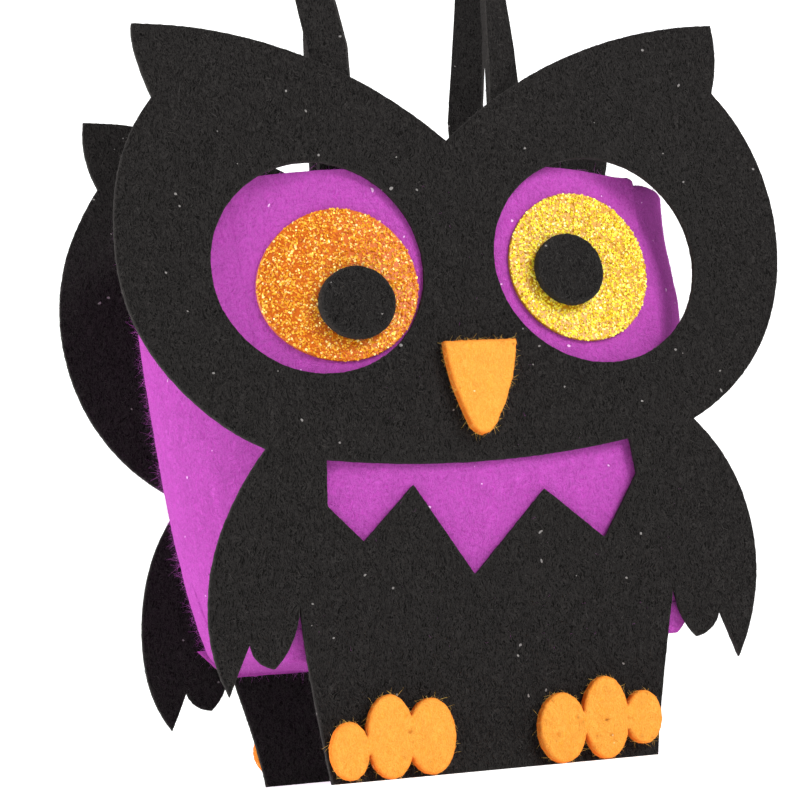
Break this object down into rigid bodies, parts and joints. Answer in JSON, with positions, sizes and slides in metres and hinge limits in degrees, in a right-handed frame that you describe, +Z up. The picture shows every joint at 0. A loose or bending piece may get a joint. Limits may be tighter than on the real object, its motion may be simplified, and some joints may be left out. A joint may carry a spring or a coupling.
{
  "type": "felt treat bag",
  "caption": "Owl-shaped felt treat bag: die-cut front and rear panels, a folding pouch between them, glitter eyes, raised beak and feet, and two strap handles.",
  "frame": {"origin": "on the ground, under the middle of the bag", "axes": "+Z up, the front panel faces -Y, +X to the right as seen from the front"},
  "size_m": [0.15, 0.0744, 0.24],
  "materials": {
    "black_felt": "matt needled felt",
    "purple_felt": "soft fuzzy felt",
    "orange_felt": "matt needled felt",
    "orange_glitter": "coarse glitter",
    "gold_glitter": "coarse glitter"
  },
  "bodies": {
    "front": {"front_panel": "black_felt", "front_pouch_sheet": "purple_felt", "front_base_tab": "purple_felt", "front_iris_left": "orange_glitter", "front_iris_right": "gold_glitter", "front_pupil_left": "black_felt", "front_pupil_right": "black_felt", "front_beak": "orange_felt", "front_foot_left": "orange_felt", "front_foot_right": "orange_felt", "front_strap_left": "black_felt", "front_strap_right": "black_felt"},
    "front_handle": {"front_handle": "black_felt"},
    "rear": {"rear_panel": "black_felt", "rear_pouch_sheet": "purple_felt", "rear_base_tab": "purple_felt", "rear_iris_left": "gold_glitter", "rear_iris_right": "orange_glitter", "rear_pupil_left": "black_felt", "rear_pupil_right": "black_felt", "rear_beak": "orange_felt", "rear_foot_left": "orange_felt", "rear_foot_right": "orange_felt", "rear_strap_left": "black_felt", "rear_strap_right": "black_felt"},
    "rear_handle": {"rear_handle": "black_felt"},
    "gusset_left_front": {"gusset_left_front": "purple_felt"},
    "gusset_left_rear": {"gusset_left_rear": "purple_felt"},
    "gusset_right_front": {"gusset_right_front": "purple_felt"},
    "gusset_right_rear": {"gusset_right_rear": "purple_felt"},
    "base_front": {"base_front_half": "purple_felt"},
    "base_rear": {"base_rear_half": "purple_felt"}
  },
  "joints": [
    {"name": "fold_left_front", "type": "hinge", "parent": "front", "child": "gusset_left_front", "pos_m": [-0.04521, -0.0297, 0.0772], "axis": [0.0581, 0, -0.9983], "range_deg": [0, 80]},
    {"name": "fold_left_crease", "type": "hinge", "parent": "gusset_left_front", "child": "gusset_left_rear", "pos_m": [-0.04632, 0, 0.0772], "axis": [0.0581, 0, -0.9983], "range_deg": [-160, 0]},
    {"name": "fold_left_rear", "type": "hinge", "parent": "gusset_left_rear", "child": "rear", "pos_m": [-0.04521, 0.0297, 0.0772], "axis": [0.0581, 0, -0.9983], "range_deg": [0, 80]},
    {"name": "fold_right_front", "type": "hinge", "parent": "front", "child": "gusset_right_front", "pos_m": [0.04521, -0.0297, 0.0772], "axis": [0.0581, 0, 0.9983], "range_deg": [0, 80]},
    {"name": "fold_right_crease", "type": "hinge", "parent": "gusset_right_front", "child": "gusset_right_rear", "pos_m": [0.04632, 0, 0.0772], "axis": [0.0581, 0, 0.9983], "range_deg": [-160, 0]},
    {"name": "fold_base_front", "type": "hinge", "parent": "front", "child": "base_front", "pos_m": [0, -0.0297, 0.0262], "axis": [-1, 0, 0], "range_deg": [0, 80]},
    {"name": "fold_base_crease", "type": "hinge", "parent": "base_front", "child": "base_rear", "pos_m": [0, 0, 0.0273], "axis": [-1, 0, 0], "range_deg": [-160, 0]},
    {"name": "front_handle_swing", "type": "hinge", "parent": "front", "child": "front_handle", "pos_m": [-0.004, -0.0315, 0.1558], "axis": [1, 0, 0], "range_deg": [0, 140]},
    {"name": "rear_handle_swing", "type": "hinge", "parent": "rear", "child": "rear_handle", "pos_m": [0.009, 0.0315, 0.1558], "axis": [-1, 0, 0], "range_deg": [0, 140]}
  ],
  "couplings": [
    {"joint": "fold_left_crease", "follows": "fold_left_front", "ratio": -2},
    {"joint": "fold_left_rear", "follows": "fold_left_front", "ratio": 1},
    {"joint": "fold_right_front", "follows": "fold_left_front", "ratio": 1},
    {"joint": "fold_right_crease", "follows": "fold_left_front", "ratio": -2},
    {"joint": "fold_base_front", "follows": "fold_left_front", "ratio": 1},
    {"joint": "fold_base_crease", "follows": "fold_left_front", "ratio": -2}
  ]
}
